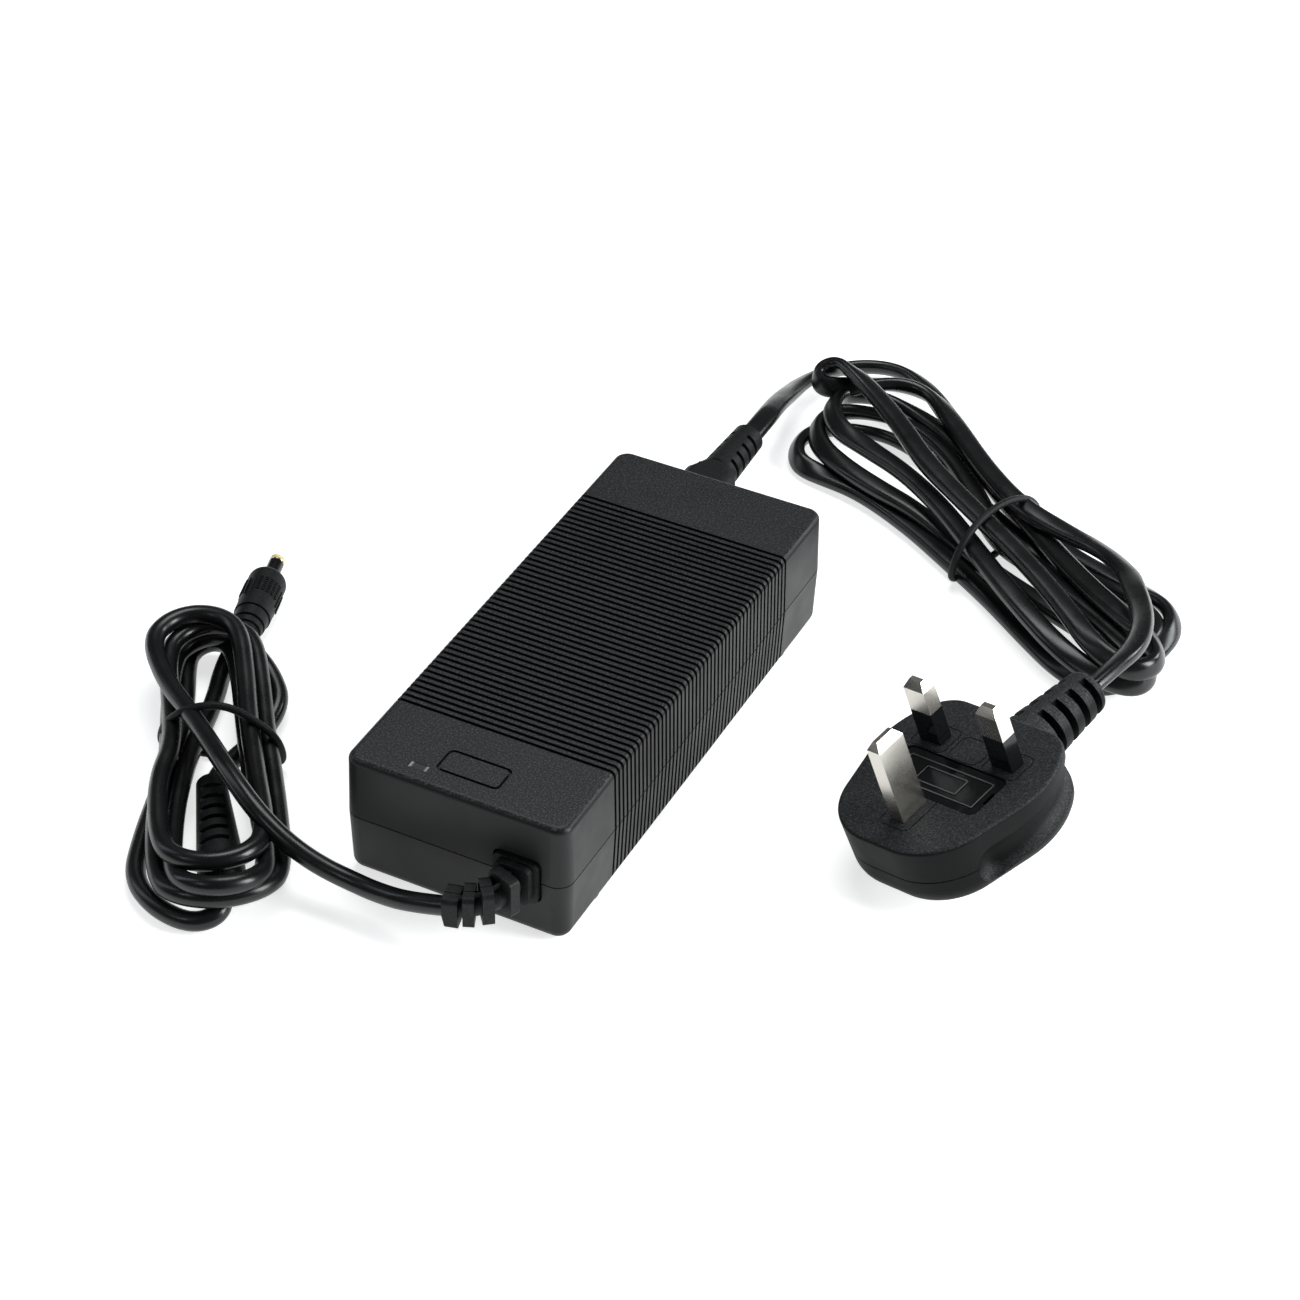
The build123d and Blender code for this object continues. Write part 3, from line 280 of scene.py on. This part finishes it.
def level_sides(tangents):
    """For each tangent, the level direction across it, carried along smoothly where the line is steep."""
    across = tangents[0].cross(UP).normalized()
    sides = []
    for tangent in tangents:
        level = tangent.cross(UP)
        if level.dot(across) < 0:
            level = -level
        weight = min(1.0, level.length * LEVEL_PULL)
        carried = (across - tangent * across.dot(tangent)).normalized()
        across = (carried * (1 - weight) + level.normalized() * weight).normalized()
        sides.append(across.copy())
    columns = [smoothed([side[axis] for side in sides], SIDE_REACH) for axis in range(3)]
    sides = [Vector(side) for side in zip(*columns)]
    return [(side - tangent * side.dot(tangent)).normalized() for side, tangent in zip(sides, tangents)]


OVAL_POINTS = 20
OVAL_POWER = 2 / 2.6


def oval(width, thickness):
    """Outline of a flat cord: a rounded oval with slightly flattened faces."""
    points = []
    for i in range(OVAL_POINTS):
        angle = 2 * math.pi * i / OVAL_POINTS
        c, s = math.cos(angle), math.sin(angle)
        x = math.copysign(abs(c) ** OVAL_POWER, c) * width / 2
        y = math.copysign(abs(s) ** OVAL_POWER, s) * thickness / 2
        points.append((x, y))
    return points


def build_output_cord(material):
    """The round output lead, from the strain relief through its hank to the barrel plug."""
    route = DC_LEAD + placed(DC_HANK_MID, DC_HANK_AXIS, output_turns())
    cord = spline_curve("output_lead", metres(route), DC_CORD_D * MM)
    cord.data.materials.append(material)
    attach(cord, "case")
    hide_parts("output_cord", "output_hank")
    return cord


def build_mains_cord(material):
    """The flat mains lead, from the inlet connector through its hank to the mains plug."""
    route = MAINS_LEAD + placed(MAINS_HANK_MID, MAINS_HANK_AXIS, mains_turns()) + MAINS_TAIL
    line = line_of(metres(route))
    cord = flat_cord("mains_flex", line, MAINS_CORD_W * MM, MAINS_CORD_T * MM)
    cord.data.materials.append(material)
    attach(cord, "mains_lead")
    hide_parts("mains_cord", "mains_hank", "plug_cord")
    return cord, line


TIE_D = 1.9
OUTPUT_TIE = [(-78, -50, 1), (-86, -52.5, 1), (-88.6, -53, 2.2), (-87.6, -54, 7), (-84.8, -54.8, 12),
              (-80, -54.2, 16.8), (-74.5, -51.5, 18.4), (-70, -49.2, 17.4), (-64.6, -48, 14.6),
              (-60.2, -46.6, 10.6), (-59, -45.6, 5), (-60, -45.4, 1.6), (-66, -47, 1), (-78, -50, 1)]
MAINS_TIE = [(58, 113, 1), (54, 100, 1), (52.6, 96.2, 2.2), (53, 95.8, 7), (54, 99.5, 13),
             (56, 107.5, 16.4), (58.6, 116.5, 16), (61, 125.5, 12.4), (62.4, 131.6, 6),
             (62.2, 131.4, 1.8), (61, 126, 1), (58, 113, 1)]


def build_tie(name, points, body, node, material):
    """A thin band of wire drawn round a hank."""
    tie = spline_curve(name, metres(points), TIE_D * MM)
    tie.data.materials.append(material)
    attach(tie, body)
    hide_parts(node)
    return tie


# ================================================================ raised detail on the two plugs
DC_PLUG_AT = Vector((-94.7, -1.0, 5.0)) * MM
DC_PLUG_HEADING = math.radians(106.5)
GRIP_SURFACE = 4.9 * MM
PATTERNS = (-32, 88, 208)
BAR_ROWS = (-32, -16, 0, 16, 32)
BAR_HEIGHTS = (2.3, 3.1, 3.9, 4.7, 5.5, 6.3, 7.1)
BAR_SIZE = (0.36, 0.8, 0.5)
FRAME_LINES = (-51, 51)
FRAME_LINE_SIZE = (6.2, 0.28, 0.5)
FRAME_LINE_AT = 3.8
BARREL_RING = ((18.8, 1.99), (18.8, 2.03), (19.3, 2.03), (19.3, 1.99))
RING_POINTS = 48


def round_plug(height, angle, radius):
    """Point beside the barrel plug's axis, with the directions along, sideways and outward there."""
    along = Vector((math.cos(DC_PLUG_HEADING), math.sin(DC_PLUG_HEADING), 0))
    side = Vector((-along.y, along.x, 0))
    outward = math.sin(angle) * side + math.cos(angle) * UP
    return DC_PLUG_AT + along * height * MM + outward * radius, along, along.cross(outward), outward


def block(point, axes, size):
    """Corners of a small block about a point, with its size along three axes in millimetres."""
    along, sideways, outward = (axis * extent * MM / 2 for axis, extent in zip(axes, size))
    square = ((-1, -1), (1, -1), (1, 1), (-1, 1))
    return [point + along * x + sideways * y + outward * z for z in (-1, 1) for x, y in square]


def join_blocks(name, blocks):
    """One mesh of many blocks, each given by its eight corners."""
    sides = [(0, 3, 2, 1), (4, 5, 6, 7), (0, 1, 5, 4), (1, 2, 6, 5), (2, 3, 7, 6), (3, 0, 4, 7)]
    vertices = [corner for corners in blocks for corner in corners]
    faces = [tuple(8 * i + k for k in side) for i in range(len(blocks)) for side in sides]
    return mesh_object(name, vertices, faces, smooth=False)


def raised_bar(height, degrees, size):
    """Small block standing on the barrel plug's grip."""
    point, *axes = round_plug(height, math.radians(degrees), GRIP_SURFACE)
    return block(point, axes, size)


def build_grip(material):
    """Rows of small bars between two fine lines, three times round the grip."""
    blocks = []
    for middle in PATTERNS:
        rows = [middle + row for row in BAR_ROWS]
        blocks += [raised_bar(height, row, BAR_SIZE) for row in rows for height in BAR_HEIGHTS]
        blocks += [raised_bar(FRAME_LINE_AT, middle + row, FRAME_LINE_SIZE) for row in FRAME_LINES]
    grip = join_blocks("dc_plug_grip", blocks)
    grip.data.materials.append(material)
    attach(grip, "case")
    return grip


def build_barrel_ring(material):
    """Bright edge of the barrel next to the coloured tip."""
    angles = [2 * math.pi * i / RING_POINTS for i in range(RING_POINTS)]
    rings = []
    for height, radius in BARREL_RING:
        rings.append([round_plug(height, angle, radius * MM)[0] for angle in angles])
    ring = skin("dc_plug_ring", rings + rings[:1], capped=False)
    ring.data.materials.append(material)
    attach(ring, "case")
    return ring


MAINS_PLUG_AT = (85.7, -11.5, 20.7)
MAINS_PLUG_TURNS = (73.0, -12.2, -14.4)
CARRIER_U = 11.4
CARRIER_TOP = -0.13
CARRIER_FRAMES = ((8.15, 25.35), (4.75, 12.35))
CARRIER_LINE = (0.3, 0.1)


def build_carrier_lines(material):
    """The fine framing lines moulded on the fuse carrier, as a pale painted highlight along each raised
    frame.
    """
    yaw, rise, lean = (math.radians(turn) for turn in MAINS_PLUG_TURNS)
    turned = Matrix.Rotation(yaw, 3, "Z") @ Matrix.Rotation(rise, 3, "Y") @ Matrix.Rotation(lean, 3, "X")
    axes = [turned.col[i].copy() for i in range(3)]
    centre = (Vector(MAINS_PLUG_AT) + turned @ Vector((CARRIER_U, 0, CARRIER_TOP))) * MM
    thick, high = CARRIER_LINE
    blocks = []
    for width, length in CARRIER_FRAMES:
        for side in (-1, 1):
            across = centre + axes[0] * side * width * MM / 2
            along = centre + axes[1] * side * length * MM / 2
            blocks.append(block(across, axes, (thick, length, high)))
            blocks.append(block(along, axes, (width, thick, high)))
    lines = join_blocks("fuse_carrier_lines", blocks)
    lines.data.materials.append(material)
    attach(lines, "fuse_drawer")
    return lines


# ================================================================ materials
def new_material(name, colour, roughness, metallic=0.0, specular=0.5):
    """A Principled material with its constant values on the shader's own inputs."""
    material = bpy.data.materials.new(name)
    material.use_nodes = True
    shader = material.node_tree.nodes["Principled BSDF"]
    shader.inputs["Base Color"].default_value = (*colour, 1.0)
    shader.inputs["Roughness"].default_value = roughness
    shader.inputs["Metallic"].default_value = metallic
    shader.inputs["Specular IOR Level"].default_value = specular
    return material


def noise(material, scale, detail=2.0):
    """A noise texture in the part's own coordinates; scale is in features per metre."""
    nodes, links = material.node_tree.nodes, material.node_tree.links
    place = nodes.new("ShaderNodeTexCoord")
    texture = nodes.new("ShaderNodeTexNoise")
    texture.inputs["Scale"].default_value = scale
    texture.inputs["Detail"].default_value = detail
    links.new(place.outputs["Object"], texture.inputs["Vector"])
    return texture.outputs["Fac"]


def add_bump(material, height, strength, depth):
    """Bump on the shader's normal; a second call adds to the first."""
    nodes, links = material.node_tree.nodes, material.node_tree.links
    shader = nodes["Principled BSDF"]
    bump = nodes.new("ShaderNodeBump")
    bump.inputs["Strength"].default_value = strength
    bump.inputs["Distance"].default_value = depth
    links.new(height, bump.inputs["Height"])
    if shader.inputs["Normal"].is_linked:
        links.new(shader.inputs["Normal"].links[0].from_socket, bump.inputs["Normal"])
    links.new(bump.outputs["Normal"], shader.inputs["Normal"])


def add_ramp(material, value, stops):
    """Base colour from a value, through a ramp with (position, colour) stops."""
    nodes, links = material.node_tree.nodes, material.node_tree.links
    ramp = nodes.new("ShaderNodeValToRGB")
    elements = ramp.color_ramp.elements
    while len(elements) < len(stops):
        elements.new(0.5)
    for element, (position, colour) in zip(elements, stops):
        element.position = position
        element.color = (*colour, 1.0)
    links.new(value, ramp.inputs["Fac"])
    links.new(ramp.outputs["Color"], nodes["Principled BSDF"].inputs["Base Color"])


def vary_roughness(material, value, low, high):
    """Roughness that varies from low to high with a value."""
    nodes, links = material.node_tree.nodes, material.node_tree.links
    spread = nodes.new("ShaderNodeMapRange")
    spread.inputs["From Min"].default_value = 0.3
    spread.inputs["From Max"].default_value = 0.7
    spread.inputs["To Min"].default_value = low
    spread.inputs["To Max"].default_value = high
    links.new(value, spread.inputs["Value"])
    links.new(spread.outputs["Result"], nodes["Principled BSDF"].inputs["Roughness"])


def grey(value):
    """A near-neutral, slightly cool grey."""
    return (value * 0.95, value * 0.99, value * 1.05)


def facing_up(material):
    """1 where the surface faces upwards and 0 where it stands upright."""
    nodes, links = material.node_tree.nodes, material.node_tree.links
    geometry = nodes.new("ShaderNodeNewGeometry")
    parts = nodes.new("ShaderNodeSeparateXYZ")
    spread = nodes.new("ShaderNodeMapRange")
    spread.inputs["From Min"].default_value = 0.25
    spread.inputs["From Max"].default_value = 0.8
    links.new(geometry.outputs["Normal"], parts.inputs["Vector"])
    links.new(parts.outputs["Z"], spread.inputs["Value"])
    return spread.outputs["Result"]


def times(material, first, second):
    """The product of two values."""
    nodes, links = material.node_tree.nodes, material.node_tree.links
    product = nodes.new("ShaderNodeMath")
    product.operation = "MULTIPLY"
    links.new(first, product.inputs[0])
    links.new(second, product.inputs[1])
    return product.outputs["Value"]


def speckled_plastic(name, tones, grain, roughness, depth, specular=0.25, painted_light_on_top_only=False):
    """Moulded plastic with fine pits; the light tone paints glints where the pits would catch the light.
    Tones are dark, field and light.

    With the top-only switch, upright walls are smooth and take only the dark tone: no painted glints there,
    and where the field tone is paler than the dark one, painted shade on the walls against lit tops.
    """
    dark, field, light = tones
    material = new_material(name, grey(dark), roughness, specular=specular)
    fine = noise(material, grain, 3.0)
    # With the top-only switch, upright walls get no pits and take the dark tone: painted shade.
    pits_and_painted_glints = times(material, fine, facing_up(material)) if painted_light_on_top_only else fine
    # The light stop is the tone of painted glints on the pits.
    stops = [(0.2, dark), (0.42, field), (0.57, (field * 2 + light) / 3), (0.68, light)]
    add_ramp(material, pits_and_painted_glints, [(place, grey(tone)) for place, tone in stops])
    add_bump(material, pits_and_painted_glints, 0.7, depth)
    vary_roughness(material, noise(material, 90.0, 2.0), roughness - 0.04, roughness + 0.06)
    return material


def cord_plastic(name, tone, roughness):
    """Flexible PVC: smooth and half glossy, with a faint ripple and handling marks."""
    material = new_material(name, (tone * 0.92, tone * 0.97, tone * 1.1), roughness, specular=0.4)
    add_bump(material, noise(material, 260.0, 2.0), 0.12, 0.0001)
    add_bump(material, noise(material, 2600.0, 2.0), 0.06, 0.00002)
    vary_roughness(material, noise(material, 140.0, 3.0), roughness - 0.04, roughness + 0.08)
    return material


def plated_metal(name, colour, roughness):
    """Plated metal with a faintly uneven surface and small stains."""
    material = new_material(name, colour, roughness, metallic=1.0)
    add_bump(material, noise(material, 1200.0, 2.0), 0.4, 0.00001)
    vary_roughness(material, noise(material, 60.0, 2.0), roughness - 0.03, roughness + 0.04)
    return material


def wound_wire(name, colour, pitch):
    """Round wire laid turn by turn, as bands across the part."""
    material = new_material(name, colour, 0.3, metallic=0.7)
    nodes, links = material.node_tree.nodes, material.node_tree.links
    place = nodes.new("ShaderNodeTexCoord")
    wave = nodes.new("ShaderNodeTexWave")
    wave.inputs["Scale"].default_value = 1.0 / pitch
    links.new(place.outputs["Object"], wave.inputs["Vector"])
    add_bump(material, wave.outputs["Fac"], 0.8, 0.0003)
    return material


def plain_part(name, colour, roughness, metallic=0.0):
    """A component inside the case: its colour with slight variation and a fine surface."""
    material = new_material(name, colour, roughness, metallic)
    patches = noise(material, 220.0, 2.0)
    darker = tuple(c * 0.82 for c in colour)
    add_ramp(material, patches, [(0.35, darker), (0.65, colour)])
    add_bump(material, noise(material, 1800.0, 2.0), 0.2, 0.00004)
    return material


WINDOW_X = (-13.7 * MM, -9.1 * MM)


def window_plastic(name):
    """Smoky clear plastic over the indicator, with a paler grey painted at its two ends as painted
    highlights.
    """
    material = new_material(name, (0.05, 0.05, 0.048), 0.15, specular=0.6)
    nodes, links = material.node_tree.nodes, material.node_tree.links
    place = nodes.new("ShaderNodeTexCoord")
    parts = nodes.new("ShaderNodeSeparateXYZ")
    spread = nodes.new("ShaderNodeMapRange")
    spread.inputs["From Min"].default_value = WINDOW_X[0]
    spread.inputs["From Max"].default_value = WINDOW_X[1]
    links.new(place.outputs["Object"], parts.inputs["Vector"])
    links.new(parts.outputs["X"], spread.inputs["Value"])
    # Paler grey at both ends of the window: painted highlights on the lens ends.
    smoky, painted_end_glint = (0.05, 0.046, 0.043), (0.3, 0.315, 0.33)
    stops = [(0.0, painted_end_glint), (0.07, painted_end_glint), (0.2, smoky), (0.82, smoky), (0.94, painted_end_glint)]
    add_ramp(material, spread.outputs["Result"], stops)
    add_bump(material, noise(material, 900.0, 2.0), 0.2, 0.00005)
    return material


# Dark, field and light tones of speckled plastic: the light tone is painted glints.
CASE_TONES = (0.007, 0.007, 0.06)
# The mains plug's dark tone is far below its field tone: its upright walls take it as painted shade against
# lit tops.
PLUG_TONES = (0.004, 0.024, 0.075)
SOFT_TONES = (0.008, 0.008, 0.018)


def make_materials():
    """A material for each of the record's slots, and two more for the mains plug."""
    made = {
        "case_black": speckled_plastic("case_black", CASE_TONES, 2300.0, 0.42, 0.00005, painted_light_on_top_only=True),
        "plug_black": speckled_plastic("plug_black", PLUG_TONES, 2300.0, 0.5, 0.00004, 0.1, painted_light_on_top_only=True),
        "soft_black": speckled_plastic("soft_black", SOFT_TONES, 1900.0, 0.5, 0.00003, 0.16),
        "cord_black": cord_plastic("cord_black", 0.0045, 0.26),
        "gloss_black": cord_plastic("gloss_black", 0.005, 0.12),
        # A pale grey for the carrier's framing lines: painted highlight on raised edges.
        "painted_edge_highlight": new_material("painted_edge_highlight", grey(0.09), 0.5, specular=0.4),
        "window_clear": window_plastic("window_clear"),
        "nickel": plated_metal("nickel", (0.66, 0.63, 0.58), 0.24),
        "dark_nickel": plated_metal("dark_nickel", (0.05, 0.05, 0.052), 0.25),
        "brass_part": plated_metal("brass_part", (0.72, 0.5, 0.2), 0.3),
        "steel_part": plated_metal("steel_part", (0.5, 0.5, 0.5), 0.35),
        "aluminium_part": plated_metal("aluminium_part", (0.7, 0.7, 0.71), 0.4),
        "winding_yellow": plain_part("winding_yellow", (0.75, 0.5, 0.08), 0.45),
        "copper_wire": wound_wire("copper_wire", (0.72, 0.28, 0.12), 0.0012),
        "yellow_plastic": plain_part("yellow_plastic", (0.9, 0.72, 0.34), 0.4),
    }
    plain = {
        "ferrite": ((0.03, 0.03, 0.033), 0.6), "board_green": ((0.02, 0.16, 0.06), 0.4),
        "chip_black": ((0.02, 0.02, 0.022), 0.5), "can_sleeve": ((0.03, 0.05, 0.16), 0.35),
        "box_yellow": ((0.7, 0.5, 0.1), 0.5), "disc_blue": ((0.05, 0.15, 0.5), 0.4),
        "fuse_white": ((0.75, 0.74, 0.7), 0.5), "sheet_white": ((0.7, 0.7, 0.68), 0.6),
        "led_green": ((0.1, 0.6, 0.15), 0.2), "wire_red": ((0.5, 0.03, 0.03), 0.4),
    }
    for name, (colour, roughness) in plain.items():
        made[name] = plain_part(name, colour, roughness)
    return made


PLUG_SHELLS = ("plug_base", "plug_cover")


def dress_nodes(frame, materials):
    """Gives every CAD node the material of its slot in the record; the mains plug's shells are duller."""
    for name, node in frame["nodes"].items():
        current = [m.name if m else "" for m in node.data.materials]
        for i, old in enumerate(current):
            key = next((k for k in materials if old.startswith(k)), None)
            if name in PLUG_SHELLS:
                key = "plug_black"
            if key:
                node.data.materials[i] = materials[key]


# ================================================================ stage, light, camera
CAMERA_AT = Vector((0.27353, -0.53574, 0.50405))
CAMERA_TURN = 25.817
CAMERA_TILT = 38.42
CAMERA_ROLL = 1.496
LENS = 90.2
SENSOR = 36.0
NEAR_CLIP = 0.01


def add_camera():
    """A camera at the picture's angle: turn about Z, tilt down, and roll, in degrees."""
    data = bpy.data.cameras.new("camera")
    data.lens = LENS
    data.sensor_width = SENSOR
    data.clip_start = NEAR_CLIP
    camera = bpy.data.objects.new("camera", data)
    bpy.context.scene.collection.objects.link(camera)
    turn, tilt, roll = (math.radians(x) for x in (CAMERA_TURN, CAMERA_TILT, CAMERA_ROLL))
    back = Vector((math.sin(turn) * math.cos(tilt), -math.cos(turn) * math.cos(tilt), math.sin(tilt)))
    level = Vector((math.cos(turn), math.sin(turn), 0))
    upright = back.cross(level)
    right = math.cos(roll) * level + math.sin(roll) * upright
    up = -math.sin(roll) * level + math.cos(roll) * upright
    camera.matrix_world = Matrix.Translation(CAMERA_AT) @ Matrix((right, up, back)).transposed().to_4x4()
    bpy.context.scene.camera = camera


FLOOR_HALF = 3.0
FLOOR_DROP = 0.1 * MM
FLOOR_GLOW = 0.68
WHITE = (1.0, 1.0, 1.0, 1.0)


def add_floor():
    """A plain pale floor just under the part."""
    half = FLOOR_HALF
    corners = [(-half, -half, 0), (half, -half, 0), (half, half, 0), (-half, half, 0)]
    floor = mesh_object("floor", corners, [(0, 1, 2, 3)], smooth=False)
    pale = new_material("floor", (0.86, 0.86, 0.86), 0.6, specular=0.1)
    shader = pale.node_tree.nodes["Principled BSDF"]
    shader.inputs["Emission Color"].default_value = WHITE
    shader.inputs["Emission Strength"].default_value = FLOOR_GLOW
    floor.data.materials.append(pale)
    floor.location.z = -FLOOR_DROP


WORLD_LIGHT = 0.1
LIGHTS_AIM = Vector((0.0, 0.03, 0.0))
# name, place in metres, size in metres, power in watts, colour
LIGHTS = (
    ("overhead", (-0.15, 0.35, 0.9), (0.5, 0.4), 4.0, (0.96, 1.0, 1.0)),
    ("left_cool", (-0.85, -0.2, 0.5), (0.25, 0.7), 1.1, (0.84, 0.92, 1.0)),
    ("front_left", (-0.45, -0.75, 0.8), (0.2, 0.2), 0.6, (0.9, 0.96, 1.0)),
    ("right_side", (0.92, 0.15, 0.42), (0.35, 0.6), 11.5, (0.97, 1.0, 1.0)),
    ("right_back", (0.7, 0.85, 0.42), (0.35, 0.35), 4.0, (0.95, 0.99, 1.0)),
)


def add_light(name, place, size, power, colour):
    """A soft rectangular light that faces the part."""
    data = bpy.data.lights.new(name, "AREA")
    data.shape = "RECTANGLE"
    data.size, data.size_y = size
    data.energy = power
    data.color = colour
    lamp = bpy.data.objects.new(name, data)
    lamp.location = place
    lamp.rotation_euler = (LIGHTS_AIM - Vector(place)).to_track_quat("-Z", "Y").to_euler()
    bpy.context.scene.collection.objects.link(lamp)


def add_lights():
    """The studio lights and a faint even light from all round."""
    for light in LIGHTS:
        add_light(*light)
    world = bpy.data.worlds.new("world")
    world.use_nodes = True
    background = world.node_tree.nodes["Background"]
    background.inputs["Color"].default_value = WHITE
    background.inputs["Strength"].default_value = WORLD_LIGHT
    bpy.context.scene.world = world
    bpy.context.scene.view_settings.view_transform = "Standard"


# ================================================================ the whole
def main():
    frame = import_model()
    add_camera()
    materials = make_materials()
    output_lead = build_output_cord(materials["cord_black"])
    mains_flex, mains_line = build_mains_cord(materials["cord_black"])
    output_tie = build_tie("output_tie", OUTPUT_TIE, "case", "output_hank_tie", materials["soft_black"])
    mains_tie = build_tie("mains_tie", MAINS_TIE, "mains_lead", "mains_hank_tie", materials["soft_black"])
    dress_nodes(frame, materials)
    grip = build_grip(materials["soft_black"])
    ring = build_barrel_ring(materials["nickel"])
    carrier_lines = build_carrier_lines(materials["painted_edge_highlight"])
    add_floor()
    add_lights()


main()
